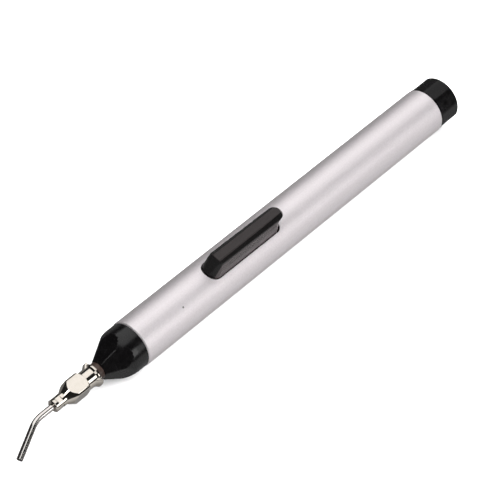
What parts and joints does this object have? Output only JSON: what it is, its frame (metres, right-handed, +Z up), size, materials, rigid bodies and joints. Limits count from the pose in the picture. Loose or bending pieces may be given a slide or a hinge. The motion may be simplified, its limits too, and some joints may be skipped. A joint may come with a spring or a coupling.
{
  "type": "vacuum pick-up pen",
  "caption": "Slim hand-held vacuum pen: a side thumb key squeezes a bulb in a satin tube, and a bent needle on a luer hub lifts small electronic parts.",
  "frame": {"origin": "middle of the pen's overall box, on the surface that the barrel lies on", "axes": "+X along the barrel towards the cap, -X towards the needle, +Z up through the thumb key"},
  "size_m": [0.178, 0.014, 0.0191],
  "materials": {
    "satin_aluminium": "satin anodised, pale silver",
    "black_gloss_plastic": "moulded, glossy",
    "black_satin_plastic": "moulded, satin",
    "nickel_plate": "bright nickel plate on turned brass",
    "browned_brass": "browned, dull",
    "needle_steel": "drawn stainless steel, bright",
    "grey_plastic": "moulded, unpolished",
    "bulb_rubber": "moulded rubber",
    "clamp_brass": "plain, crimped"
  },
  "bodies": {
    "pen": {"barrel": "satin_aluminium", "nose_cone": "black_gloss_plastic", "luer_fitting": "browned_brass", "end_cap": "black_gloss_plastic", "hinge_pin": "needle_steel", "cradle": "grey_plastic", "squeeze_bulb": "bulb_rubber", "hose_clamp": "clamp_brass", "return_spring": "needle_steel"},
    "key": {"thumb_key": "black_satin_plastic"},
    "needle": {"needle_hub": "nickel_plate", "needle_tube": "needle_steel"}
  },
  "joints": [
    {"name": "key_press", "type": "hinge", "parent": "pen", "child": "key", "pos_m": [-0.02041, 0, 0.00993], "axis": [0, 1, 0], "range_deg": [0, 5], "stiffness_Nm_per_rad": 1.2, "springref_deg": -1.72, "deforming": ["return_spring", "squeeze_bulb"]},
    {"name": "needle_turn", "type": "hinge", "parent": "pen", "child": "needle", "pos_m": [-0.06083, 0, 0.007], "axis": [1, 0, 0], "continuous": true}
  ]
}
